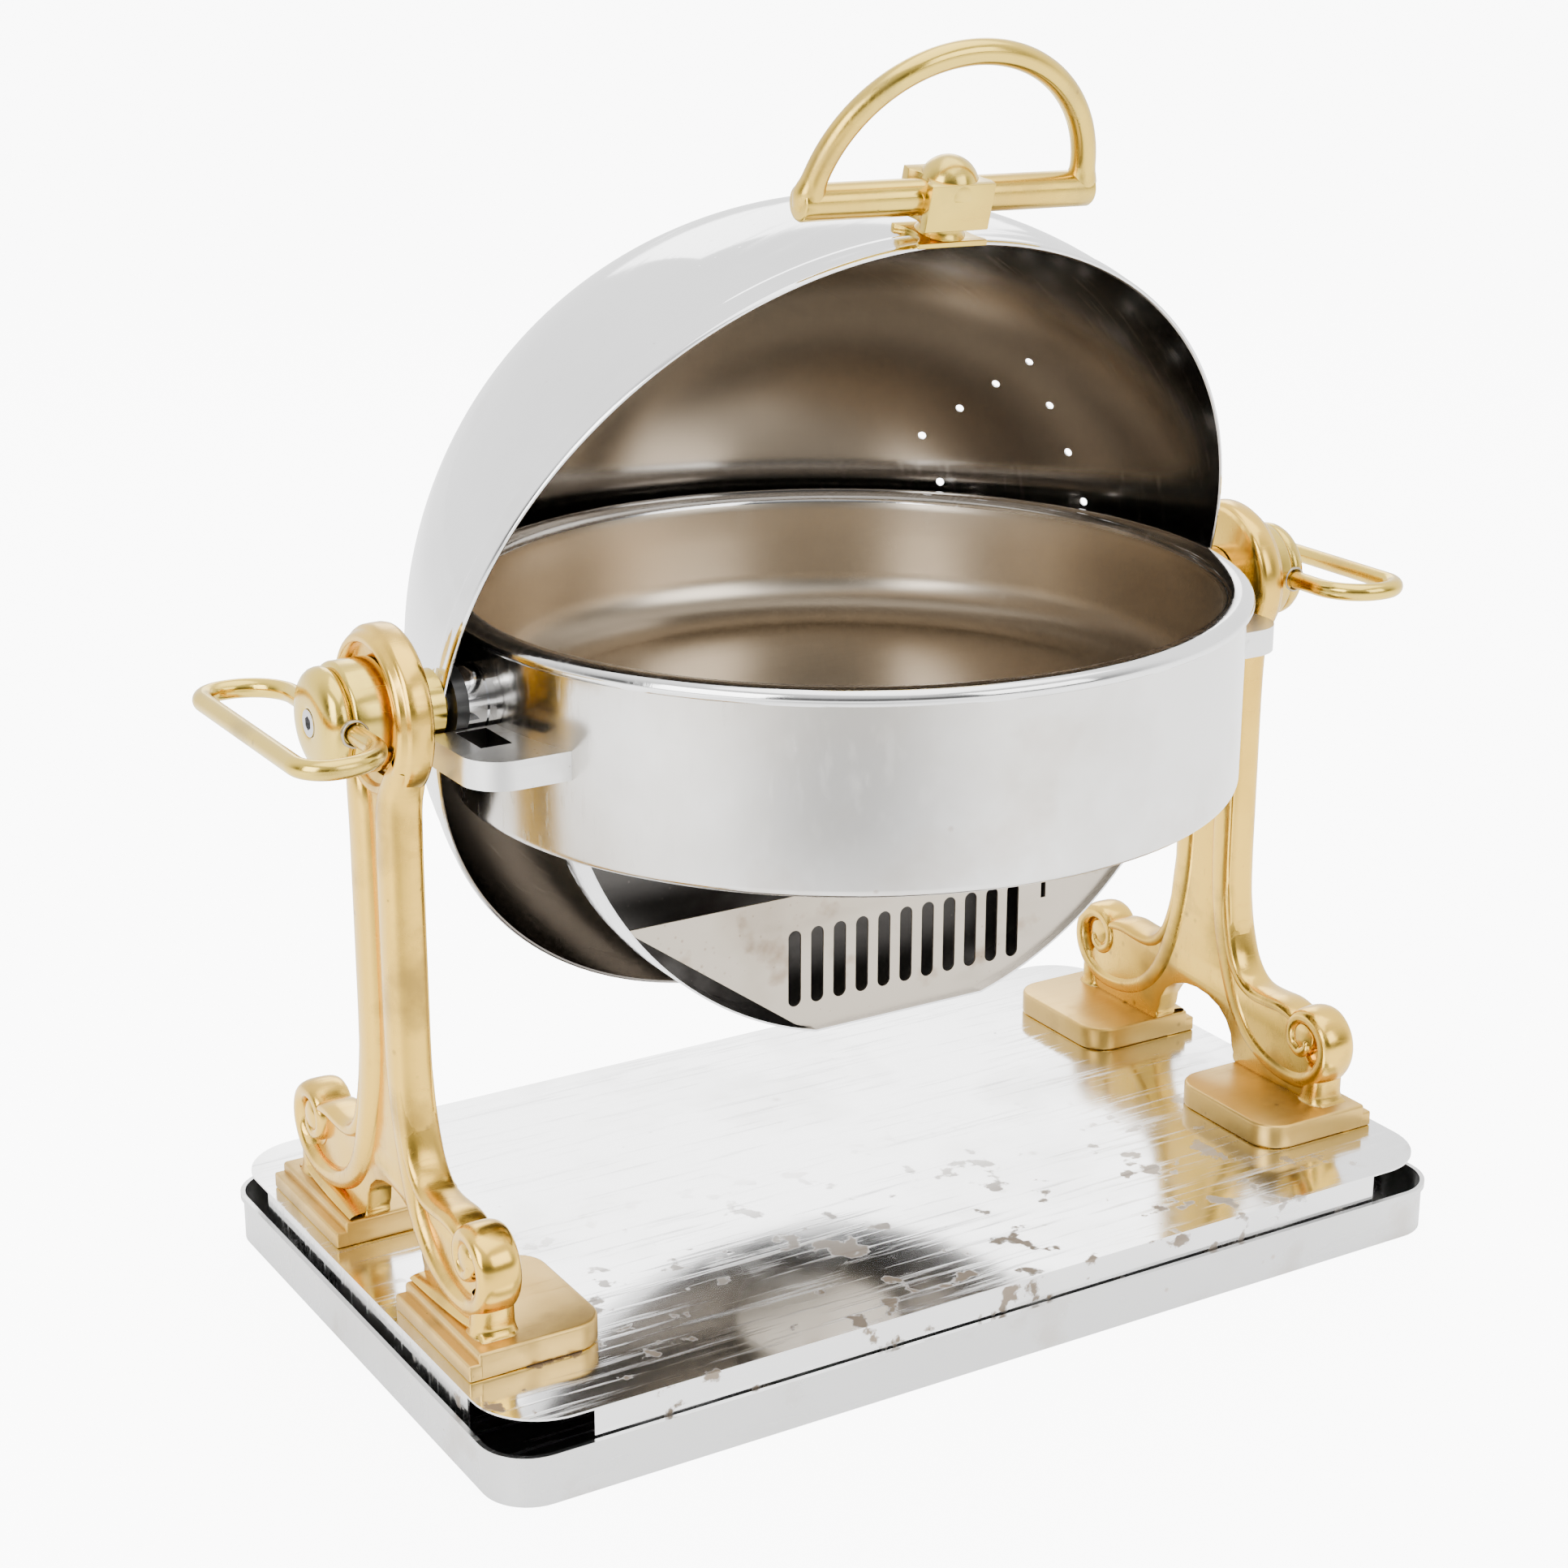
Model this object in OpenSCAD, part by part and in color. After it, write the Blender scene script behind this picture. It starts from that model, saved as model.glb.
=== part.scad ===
/* [Stand] */
// Length of the base tray
tray_l = 560; // [400:1:700]
// Depth of the base tray
tray_d = 339.2; // [260:1:420]
// Height of the tray rim
tray_h = 26; // [12:1:40]
// Height of the mirror plate above the table
plate_z = 41.5; // [30:0.5:60]
// Height of the lid pivot above the table
pivot_h = 329; // [260:1:420]
// Inner face of each leg, from the middle
leg_x = 241; // [225:1:300]
// Thickness of the leg casting
leg_t = 20; // [12:1:30]
// Radius of the ring at the top of each leg
ring_r = 41.6; // [34:0.1:60]

/* [Food pan] */
// Outside radius of the drum wall
drum_r = 200; // [150:1:230]
// Height of the drum wall underside
drum_z0 = 263.7; // [220:0.1:300]
// Height of the pan lip
pan_z = 362; // [340:1:400]
// Radius of the pan opening
pan_r = 187.6; // [140:0.1:215]
// Depth of the pan
pan_depth = 70; // [40:1:110]

/* [Lid] */
// Outside radius of the lid rim
lid_r = 224; // [180:0.5:260]
// Depth of the lid from rim to apex
lid_h = 228; // [160:1:260]
// Angle the lid stands open at rest
lid_open = 68.1; // [0:0.1:68.1]
// Bar diameter of the lid handle
grip_d = 17; // [10:0.5:24]

/* [Hardware] */
// Diameter of the pivot shaft
shaft_d = 16; // [10:0.5:20]
// Rod diameter of the side handles
rod_d = 9.5; // [6:0.5:14]
// Reach of the side handles from the middle
rod_x = 316; // [300:1:360]

/* [Hidden] */
$fn = 64;
sheet = 1;
dy = -4;
rim_n = -9;
rim_y = -3.7;
lug_z1 = pivot_h - 10;
lug_z0 = pivot_h - 24;
pad_x0 = 199.2;
pad_x1 = 271.6;
pad_z1 = 55;
strap_r = 189.5;
strap_flat = 182.8;
hub_x0 = leg_x + 13;

brass = [0.78, 0.62, 0.32];
steel = [0.80, 0.80, 0.80];
dark = [0.10, 0.10, 0.10];

// ---- helpers ----
module round_rect(l, d, r) {
  square([l - 2 * r, d], center = true);
  square([l, d - 2 * r], center = true);
  for (sx = [-1, 1], sy = [-1, 1])
    translate([sx * (l / 2 - r), sy * (d / 2 - r)]) circle(r);
}

module x_cyl(x0, x1, r) {
  translate([x0, 0, 0]) rotate([0, 90, 0]) cylinder(h = x1 - x0, r = r);
}

module at_pivot() {
  translate([0, 0, pivot_h]) children();
}

module in_lid() {
  translate([0, 0, pivot_h]) rotate([-lid_open, 0, 0]) children();
}

module flip() {
  mirror([1, 0, 0]) children();
}

// ---- base ----
module base_tray() {
  color(steel) difference() {
    union() {
      linear_extrude(tray_h) round_rect(tray_l - 3, tray_d - 3, 24);
      translate([0, 0, tray_h - 3]) linear_extrude(3) round_rect(tray_l, tray_d, 25.5);
    }
    translate([0, 0, sheet]) linear_extrude(tray_h) round_rect(tray_l - 5, tray_d - 5, 23);
  }
}

module base_plate() {
  hl = 277;
  hd = 166.7;
  color(steel) difference() {
    union() {
      translate([0, 0, plate_z - sheet]) linear_extrude(sheet) round_rect(2 * hl, 2 * hd, 35);
      for (sy = [-1, 1])
        translate([-hl + 45, sy * (hd - 1.5) - 0.5, sheet]) cube([2 * hl - 90, 1, plate_z - 1.5]);
      for (sx = [-1, 1])
        translate([sx * (hl - 3) - 0.5, -hd + 45, sheet]) cube([1, 2 * hd - 90, plate_z - 1.5]);
    }
    for (sx = [-1, 1], sy = [-1, 1], k = [0, 1])
      translate([sx * 236, sy * (56 + 42 * k), 30]) cylinder(h = 20, r = 3.3);
  }
}

module leg_bolts() {
  color(steel) for (sx = [-1, 1], sy = [-1, 1], k = [0, 1])
    translate([sx * 236, sy * (56 + 42 * k), 0]) {
      translate([0, 0, plate_z - sheet - 4]) cylinder(h = 4, r = 5.8, $fn = 6);
      translate([0, 0, plate_z - sheet - 0.5]) cylinder(h = 9.5, r = 3);
    }
}

// ---- legs ----
module leg_half_profile() {
  polygon([[0, 302], [28, 302], [26, 294], [26, 160], [30, 125], [35, 105], [40, 100.5],
    [47, 99], [58, 103], [70, 106.3], [92, 107], [92, 62], [110, 62], [112, 54.5],
    [36, 54.5], [33, 57], [33, 64], [28, 73], [21, 80], [11, 85], [0, 87]]);
  translate([92, 85]) circle(22);
}

module leg_web_profile() {
  polygon([[0, 262], [5, 258], [5, 165], [12, 134], [16, 120], [23, 99], [29, 79],
    [34, 66], [0, 66]]);
}

module yz_extrude(x0, x1) {
  translate([x0, 0, 0]) rotate([90, 0, 90]) linear_extrude(x1 - x0) children();
}

module leg_pad() {
  translate([0, 0, plate_z]) linear_extrude(pad_z1 - plate_z) difference() {
    union() {
      translate([pad_x0 + 15, 35.6]) square([pad_x1 - pad_x0 - 15, 83]);
      translate([pad_x0, 50.6]) square([20, 53]);
      for (y = [50.6, 103.6]) translate([pad_x0 + 15, y]) circle(15);
    }
  }
}

module leg() {
  color(brass) difference() {
    union() {
      yz_extrude(leg_x, leg_x + leg_t) leg_half_profile();
      yz_extrude(leg_x, leg_x + leg_t) mirror([1, 0]) leg_half_profile();
      at_pivot() x_cyl(leg_x, leg_x + 18, ring_r);
      leg_pad();
      mirror([0, 1, 0]) leg_pad();
    }
    yz_extrude(leg_x + leg_t - 5, leg_x + leg_t + 1) leg_web_profile();
    yz_extrude(leg_x + leg_t - 5, leg_x + leg_t + 1) mirror([1, 0]) leg_web_profile();
    at_pivot() x_cyl(hub_x0, hub_x0 + 9, 32.5);
    at_pivot() x_cyl(leg_x - 1, hub_x0 + 1, shaft_d / 2 + 0.05);
    for (sy = [-1, 1]) {
      translate([leg_x + leg_t - 4, sy * 92, 85]) rotate([0, 90, 0]) difference() {
        cylinder(h = 6, r = 17.5);
        translate([0, 0, -1]) cylinder(h = 8, r = 8);
      }
      for (k = [0, 1]) translate([236, sy * (56 + 42 * k), 35]) cylinder(h = 15.1, r = 3.1);
    }
  }
}

// ---- pivot hardware ----
module hub() {
  color(brass) difference() {
    at_pivot() x_cyl(hub_x0, 274.4, 27);
    at_pivot() x_cyl(hub_x0 - 1, 280, 4.1);
    side_rods(0.02);
  }
}

module hub_cap() {
  color(brass) difference() {
    at_pivot() union() {
      x_cyl(274.4, 276, 24);
      translate([276, 0, 0]) rotate([0, 90, 0]) rotate_extrude()
        polygon([[0, 0], [25, 0], [25.4, 1.5], [25.2, 3.5], [24.2, 6], [22, 8.2],
          [18, 9.9], [12, 10.8], [0, 11]]);
    }
    at_pivot() x_cyl(270, 290, 4.1);
    at_pivot() x_cyl(281, 290, 6.6);
    side_rods(0.02);
  }
}

module cap_screw() {
  color(steel) difference() {
    at_pivot() union() {
      x_cyl(281, 287, 6.5);
      x_cyl(236, 282, 4);
    }
    translate([283, 0, pivot_h]) rotate([0, 90, 0]) cylinder(h = 5, r = 3.5, $fn = 6);
  }
}

module side_rods(g) {
  r = rod_d / 2 + g;
  y0 = 15;
  for (sy = [-1, 1]) scale([1, 1, 1]) mirror([0, sy < 0 ? 1 : 0, 0]) at_pivot() {
    translate([275, y0, 0]) rotate([-90, 0, 0]) cylinder(h = 46 - y0, r = r);
    translate([299, 46, 0]) rotate([0, 0, 90]) rotate_extrude(angle = 90)
      translate([24, 0]) circle(r);
    translate([299, 70, 0]) rotate([0, 90, 0]) cylinder(h = rod_x - 15 - 299, r = r);
    translate([rod_x - 15, 55, 0]) rotate_extrude(angle = 90) translate([15, 0]) circle(r);
    translate([rod_x, 0, 0]) rotate([-90, 0, 0]) cylinder(h = 55, r = r);
  }
}

module side_handle() {
  color(brass) difference() {
    side_rods(0);
    at_pivot() x_cyl(270, 290, 6.62);
  }
}

module pivot_shaft() {
  color(steel) difference() {
    at_pivot() union() {
      x_cyl(193.5, 198, 12);
      x_cyl(197, hub_x0 - 0.05, shaft_d / 2);
    }
    at_pivot() x_cyl(234, hub_x0 + 1, 4.05);
  }
}

module spacer() {
  color(steel) difference() {
    at_pivot() x_cyl(192, 214, 17);
    at_pivot() difference() {
      x_cyl(203.2, 204.4, 18);
      x_cyl(202, 206, 15.8);
    }
    at_pivot() x_cyl(190, 215, shaft_d / 2 + 0.05);
    translate([0, dy, pivot_h - 40]) cylinder(h = 80, r = drum_r, $fn = 192);
  }
}

module friction_washer() {
  color(dark) difference() {
    at_pivot() x_cyl(214, 220.3, 18);
    at_pivot() x_cyl(213, 222, shaft_d / 2 + 0.05);
  }
}

module lug() {
  color(steel) difference() {
    translate([0, 0, lug_z0]) linear_extrude(lug_z1 - lug_z0) union() {
      translate([150, -71]) square([65, 68]);
      translate([150, -51]) square([85, 48]);
      translate([215, -51]) circle(20);
    }
    translate([206, -46, lug_z0 - 1]) cube([16, 28, 30]);
    at_pivot() x_cyl(140, 240, 18.5);
    translate([0, dy, lug_z0 - 2]) cylinder(h = 40, r = drum_r, $fn = 192);
  }
}

// ---- drum, pan and burner ----
module drum_ring() {
  color(steel) difference() {
    translate([0, dy, 0]) rotate_extrude($fn = 192)
      polygon([[170, drum_z0], [drum_r, drum_z0], [drum_r, pan_z - 7], [drum_r - sheet, pan_z - 7],
        [drum_r - sheet, drum_z0 + 1.5], [170, drum_z0 + 1.5]]);
    for (sx = [-1, 1]) at_pivot() translate([sx * 195, 0, 0]) rotate([0, 90, 0])
      cylinder(h = 30, r = shaft_d / 2 + 0.05, center = true);
  }
}

module water_pan() {
  b = pan_z - pan_depth;
  t = 1.2;
  color(steel) translate([0, dy, 0]) rotate_extrude($fn = 192) difference() {
    union() {
      square_ring(0, pan_r + t - 25, b - t, b + 2);
      square_ring(pan_r + t - 2, pan_r + t, b + 25, pan_z - 1);
      translate([pan_r - 25 + t * 0, b + 25]) intersection() {
        circle(25 + t, $fn = 96);
        translate([0, -30]) square([30, 30.1]);
      }
      square_ring(pan_r, 202.2, pan_z - 1.5, pan_z);
      square_ring(202.1, 203.7, pan_z - 6, pan_z - 1);
      translate([202.2, pan_z - 1.5]) circle(1.5);
    }
    square_ring(-1, pan_r - 25, b, pan_z + 5);
    square_ring(-1, pan_r, b + 25, pan_z + 5);
    translate([pan_r - 25, b + 25]) circle(25, $fn = 96);
    translate([-50, b - 5]) square([50, 90]);
  }
}

module square_ring(r0, r1, z0, z1) {
  translate([r0, z0]) square([r1 - r0, z1 - z0]);
}

module strap_shape(r, flat_z) {
  intersection() {
    circle(r, $fn = 192);
    translate([-250, flat_z]) square([500, 500]);
  }
}

module burner_strap(y0) {
  color(steel) difference() {
    translate([0, y0 + 31, pivot_h]) rotate([90, 0, 0]) linear_extrude(31) difference() {
      strap_shape(strap_r, -strap_flat);
      strap_shape(strap_r - sheet, -strap_flat + sheet);
    }
    translate([-250, y0 - 1, drum_z0]) cube([500, 40, 400]);
  }
}

module vent_panel() {
  n = 11;
  z0 = pivot_h - strap_flat + sheet;
  color(steel) translate([0, -56, 0]) rotate([90, 0, 0]) linear_extrude(1) difference() {
    intersection() {
      polygon([[-50, z0], [200, z0], [200, 219.5], [-155, 219.5], [-60, z0 + 4]]);
      translate([0, pivot_h]) circle(strap_r - sheet, $fn = 192);
    }
    for (i = [0 : n - 1]) translate([5 + (i - (n - 1) / 2) * 13.15, 0]) {
      translate([-3.7, 164.7]) square([7.4, 32.9]);
      translate([0, 164.7]) circle(3.7, $fn = 24);
      translate([0, 197.6]) circle(3.7, $fn = 24);
    }
    translate([88.5, 190]) square([3, 9]);
  }
}

module burner_back() {
  z1 = pivot_h - strap_flat + 2 * sheet + 0.3;
  color(steel) translate([0, -30, 0]) rotate([90, 0, 0]) linear_extrude(1) intersection() {
    translate([-200, z1]) square([400, drum_z0 - 1 - z1]);
    translate([0, pivot_h]) circle(strap_r - sheet, $fn = 192);
  }
}

module fuel_holder() {
  z = pivot_h - strap_flat + sheet;
  color(steel) difference() {
    union() {
      translate([-20, -52, z]) cube([40, 118, sheet]);
      translate([0, 17, z]) cylinder(h = 24, r = 45);
    }
    translate([0, 17, z + sheet]) cylinder(h = 30, r = 44);
  }
}

// ---- lid, drawn closed about the pivot and turned open ----
function dome_r(h) = lid_r * pow(1 - pow(h / lid_h, 1.9), 1 / 1.9);

module dome_solid(t) {
  n = 40;
  s = (lid_r - t) / lid_r;
  pts = [for (i = [0 : n - 1]) let (h = lid_h * sin(90 * i / n)) [s * dome_r(h), s * h]];
  rotate_extrude($fn = 192) polygon(concat([[0, 0]], pts, [[0, lid_h * s]]));
}

module lid_dome() {
  ca = 54;
  corners = [[-13, 0], [0, 19], [13, 0], [0, -19]];
  color(steel) in_lid() difference() {
    translate([0, rim_y, rim_n]) difference() {
      union() {
        dome_solid(0);
        cylinder(h = 3.5, r = lid_r + 1.2, $fn = 192);
      }
      translate([0, 0, -0.01]) dome_solid(sheet);
      for (k = [0 : 3], i = [0 : 2]) {
        a = corners[k] + (corners[(k + 1) % 4] - corners[k]) * i / 3;
        rotate([0, ca + a[0], 0]) rotate([a[1], 0, 0])
          translate([0, 0, 200]) cylinder(h = 50, r = 2.25, $fn = 24);
      }
    }
    for (sx = [-1, 1]) translate([sx * 220, 0, 0]) rotate([0, 90, 0])
      cylinder(h = 30, r = 11.05, center = true);
  }
}

module lid_bushing() {
  color(brass) in_lid() difference() {
    union() {
      x_cyl(225.25, 240.4, 17);
      x_cyl(221.9, 226, 11);
    }
    x_cyl(220, 245, shaft_d / 2 + 0.05);
  }
}

module handle_saddle() {
  color(brass) in_lid() difference() {
    union() {
      translate([-18, -229, rim_n + 0.5]) cube([36, 15, 23]);
      translate([0, -222, rim_n + 11.5]) rotate([90, 0, 0]) cylinder(h = 12.5, r = 10.5);
    }
    for (sx = [-1, 1]) translate([sx * 24.5, -210, rim_n + 11.5]) rotate([90, 0, 0])
      cylinder(h = 30, r = 10);
    translate([0, rim_y, rim_n]) dome_solid(0);
    translate([0, rim_y, rim_n - 1]) cylinder(h = 4.6, r = lid_r + 1.2, $fn = 192);
  }
}

module handle_block() {
  color(brass) in_lid() difference() {
    translate([-17, -256.4, rim_n - 2.5]) cube([34, 21.9, 28]);
    for (sx = [-1, 1]) translate([sx * 23.5, -230, rim_n + 11.5]) rotate([90, 0, 0])
      cylinder(h = 30, r = 10);
    translate([-40, -246.5, rim_n + 11.5]) rotate([0, 90, 0]) cylinder(h = 80, r = grip_d / 2);
  }
}

module handle_ball() {
  color(brass) in_lid() difference() {
    translate([0, -256.4, rim_n + 11.5]) sphere(14.4);
    translate([-20, -256.4, rim_n - 10]) cube([40, 20, 40]);
    translate([-40, -246.5, rim_n + 11.5]) rotate([0, 90, 0]) cylinder(h = 80, r = grip_d / 2);
  }
}

module handle_crossbar() {
  color(brass) in_lid() translate([0, -246.5, rim_n + 11.5]) {
    rotate([0, 90, 0]) cylinder(h = 150, r = grip_d / 2, center = true);
    for (sx = [-1, 1]) translate([sx * 73, 0, 0]) sphere(10.2);
  }
}

module handle_arch() {
  color(brass) in_lid() translate([0, -246.5, rim_n + 11.5]) difference() {
    translate([0, 2.5, 0]) rotate([0, 0, 180]) rotate_extrude(angle = 180, $fn = 96)
      translate([75, 0]) circle(6.3, $fn = 32);
    for (sx = [-1, 1]) translate([sx * 73, 0, 0]) sphere(10.2);
    rotate([0, 90, 0]) cylinder(h = 150, r = grip_d / 2, center = true);
  }
}

base_tray();
base_plate();
flip() leg();  // leg_left
leg();  // leg_right
leg_bolts();
flip() hub();  // hub_left
hub();  // hub_right
flip() hub_cap();  // hub_cap_left
hub_cap();  // hub_cap_right
flip() cap_screw();  // cap_screw_left
cap_screw();  // cap_screw_right
flip() side_handle();  // side_handle_left
side_handle();  // side_handle_right
flip() pivot_shaft();  // pivot_shaft_left
pivot_shaft();  // pivot_shaft_right
flip() spacer();  // spacer_left
spacer();  // spacer_right
flip() friction_washer();  // friction_washer_left
friction_washer();  // friction_washer_right
flip() lug();  // lug_left
lug();  // lug_right
drum_ring();
water_pan();
burner_strap(-60);
vent_panel();
burner_back();
fuel_holder();
lid_dome();
flip() lid_bushing();  // lid_bushing_left
lid_bushing();  // lid_bushing_right
handle_saddle();
handle_block();
handle_ball();
handle_crossbar();
handle_arch();
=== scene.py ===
import math
import bpy
from mathutils import Matrix, Vector


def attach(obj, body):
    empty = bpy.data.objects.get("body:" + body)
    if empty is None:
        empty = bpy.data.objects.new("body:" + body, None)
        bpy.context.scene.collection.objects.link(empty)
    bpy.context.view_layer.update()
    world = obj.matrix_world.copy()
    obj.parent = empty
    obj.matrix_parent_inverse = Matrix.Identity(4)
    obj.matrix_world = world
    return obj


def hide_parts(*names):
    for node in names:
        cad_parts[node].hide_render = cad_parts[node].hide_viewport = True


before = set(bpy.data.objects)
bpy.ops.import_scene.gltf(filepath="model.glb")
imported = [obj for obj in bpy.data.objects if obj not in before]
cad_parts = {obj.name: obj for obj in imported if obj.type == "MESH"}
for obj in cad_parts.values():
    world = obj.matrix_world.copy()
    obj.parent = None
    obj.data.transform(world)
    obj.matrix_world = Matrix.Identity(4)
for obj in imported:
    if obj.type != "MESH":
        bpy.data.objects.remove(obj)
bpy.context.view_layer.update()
print("frame loaded")

mm = 0.001
pivotHeight = 329.0
lidAngle = math.radians(68.1)
drumY = -4.0


# small helpers shared by every piece
def clearSelection():
    if bpy.context.object and bpy.context.object.mode != "OBJECT":
        bpy.ops.object.mode_set(mode="OBJECT")
    bpy.ops.object.select_all(action="DESELECT")


def choose(piece):
    clearSelection()
    piece.select_set(True)
    bpy.context.view_layer.objects.active = piece


def cleanMesh(piece, gap=0.00001):
    choose(piece)
    bpy.ops.object.mode_set(mode="EDIT")
    bpy.ops.mesh.select_all(action="SELECT")
    bpy.ops.mesh.remove_doubles(threshold=gap)
    bpy.ops.mesh.dissolve_degenerate(threshold=gap / 2)
    bpy.ops.mesh.normals_make_consistent(inside=False)
    bpy.ops.object.mode_set(mode="OBJECT")


def smoothByAngle(piece, degrees):
    choose(piece)
    bpy.ops.object.shade_smooth_by_angle(angle=math.radians(degrees))


def rolledGrid(name, across, along, place):
    # a flat grid whose every point is put in its own place
    clearSelection()
    bpy.ops.mesh.primitive_grid_add(x_subdivisions=across, y_subdivisions=along, size=1)
    piece = bpy.context.object
    piece.name = name
    for vertex in piece.data.vertices:
        vertex.co = place(vertex.co.x + 0.5, vertex.co.y + 0.5)
    return piece


def turned(name, profile, steps, place):
    # a profile of (radius, height) turned about an axis; place puts it in the model
    last = len(profile) - 1

    def spot(u, w):
        radius, height = profile[round(w * last)]
        turn = 2 * math.pi * u
        return place(radius * math.cos(turn), radius * math.sin(turn), height)

    piece = rolledGrid(name, steps, last, spot)
    cleanMesh(piece)
    return piece


def curveThrough(points, steps):
    # smooth run of values through a list of tuples
    out = []
    last = len(points) - 1
    for i in range(last):
        a = points[max(i - 1, 0)]
        b = points[i]
        c = points[i + 1]
        d = points[min(i + 2, last)]
        for k in range(steps):
            t = k / steps
            out.append(tuple(
                0.5 * (2 * q + (r - p) * t + (2 * p - 5 * q + 4 * r - s) * t * t
                       + (3 * q - p - 3 * r + s) * t ** 3)
                for p, q, r, s in zip(a, b, c, d)))
    out.append(tuple(points[last]))
    return out


def swept(name, path, sides, power, place, steps=6):
    # path of (y, z, half width in the plane, middle x, half width across)
    run = curveThrough(path, steps)
    last = len(run) - 1

    def spot(u, w):
        i = round(w * last)
        here = run[i]
        before = run[max(i - 1, 0)]
        after = run[min(i + 1, last)]
        alongY, alongZ = after[0] - before[0], after[1] - before[1]
        size = math.hypot(alongY, alongZ) or 1.0
        outY, outZ = alongZ / size, -alongY / size
        turn = 2 * math.pi * u
        c, s = math.cos(turn), math.sin(turn)
        c = math.copysign(abs(c) ** (2 / power), c)
        s = math.copysign(abs(s) ** (2 / power), s)
        wide = here[2] * c
        return place(here[3] + here[4] * s, here[0] + outY * wide, here[1] + outZ * wide)

    piece = rolledGrid(name, sides, last, spot)
    cleanMesh(piece)
    return piece


def outlineBlock(name, outline, low, high, place, bevel=0.0, segments=3, limit=35):
    # a closed outline pushed from low to high, edges rounded
    clearSelection()
    bpy.ops.mesh.primitive_circle_add(vertices=len(outline), radius=1, fill_type="NGON")
    piece = bpy.context.object
    piece.name = name
    for vertex, (a, b) in zip(piece.data.vertices, outline):
        vertex.co = place(a, b, low)
    bpy.ops.object.mode_set(mode="EDIT")
    bpy.ops.mesh.select_all(action="SELECT")
    shift = place(outline[0][0], outline[0][1], high) - place(outline[0][0], outline[0][1], low)
    bpy.ops.mesh.extrude_region_move(TRANSFORM_OT_translate={"value": shift})
    bpy.ops.mesh.select_all(action="SELECT")
    bpy.ops.mesh.normals_make_consistent(inside=False)
    bpy.ops.object.mode_set(mode="OBJECT")
    if bevel:
        mod = piece.modifiers.new("roundedEdges", "BEVEL")
        mod.width = bevel * mm
        mod.segments = segments
        mod.limit_method = "ANGLE"
        mod.angle_limit = math.radians(limit)
        choose(piece)
        bpy.ops.object.modifier_apply(modifier=mod.name)
    return piece


def joined(name, parts):
    choose(parts[0])
    for part in parts:
        part.select_set(True)
    bpy.ops.object.join()
    piece = bpy.context.object
    piece.name = name
    piece.data.name = name
    return piece


def mirroredCopy(piece, name):
    choose(piece)
    bpy.ops.object.duplicate()
    twin = bpy.context.object
    twin.name = name
    twin.data.name = name
    for vertex in twin.data.vertices:
        vertex.co.x = -vertex.co.x
    choose(twin)
    bpy.ops.object.mode_set(mode="EDIT")
    bpy.ops.mesh.select_all(action="SELECT")
    bpy.ops.mesh.flip_normals()
    bpy.ops.object.mode_set(mode="OBJECT")
    return twin


def atModel(x, y, z):
    return Vector((x * mm, y * mm, z * mm))


def inLid(x, rho, n):
    # lid places: rho runs from the pivot to the handle, n from the rim plane to the apex
    y = -rho * math.cos(lidAngle) + n * math.sin(lidAngle)
    z = pivotHeight + rho * math.sin(lidAngle) + n * math.cos(lidAngle)
    return Vector((x * mm, y * mm, z * mm))


def arc(centreA, centreB, radius, start, end, steps):
    out = []
    for i in range(steps + 1):
        turn = math.radians(start + (end - start) * i / steps)
        out.append((centreA + radius * math.cos(turn), centreB + radius * math.sin(turn)))
    return out


# shader groups, each built once and used by every finish
def newGroup(name, inputs, outputs):
    group = bpy.data.node_groups.new(name, "ShaderNodeTree")
    for title, value in inputs:
        kind = "NodeSocketVector" if value is None else "NodeSocketFloat"
        socket = group.interface.new_socket(name=title, in_out="INPUT", socket_type=kind)
        if value is not None:
            socket.default_value = value
    for title in outputs:
        group.interface.new_socket(name=title, in_out="OUTPUT", socket_type="NodeSocketFloat")
    group.nodes.new("NodeGroupInput").name = "ins"
    group.nodes.new("NodeGroupOutput").name = "outs"
    return group


def addNode(tree, kind, **settings):
    node = tree.nodes.new(kind)
    for key, value in settings.items():
        setattr(node, key, value)
    return node


def stretchedNoise(tree, coords, scale, detail=4.0, stretch=(1, 1, 1), turn=(0, 0, 0)):
    mapping = addNode(tree, "ShaderNodeMapping")
    mapping.inputs["Scale"].default_value = stretch
    mapping.inputs["Rotation"].default_value = [math.radians(v) for v in turn]
    noise = addNode(tree, "ShaderNodeTexNoise")
    noise.inputs["Detail"].default_value = detail
    if isinstance(scale, (int, float)):
        noise.inputs["Scale"].default_value = scale
    else:
        tree.links.new(scale, noise.inputs["Scale"])
    tree.links.new(coords, mapping.inputs["Vector"])
    tree.links.new(mapping.outputs["Vector"], noise.inputs["Vector"])
    return noise.outputs["Fac"]


def ranged(tree, value, low, high, outLow=0.0, outHigh=1.0):
    node = addNode(tree, "ShaderNodeMapRange")
    ends = (("From Min", low), ("From Max", high), ("To Min", outLow), ("To Max", outHigh))
    for title, number in ends:
        if isinstance(number, (int, float)):
            node.inputs[title].default_value = number
        else:
            tree.links.new(number, node.inputs[title])
    tree.links.new(value, node.inputs["Value"])
    return node.outputs["Result"]


def combine(tree, a, b, how):
    node = addNode(tree, "ShaderNodeMath", operation=how)
    for slot, value in zip(node.inputs, (a, b)):
        if isinstance(value, (int, float)):
            slot.default_value = value
        else:
            tree.links.new(value, slot)
    return node.outputs[0]


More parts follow.
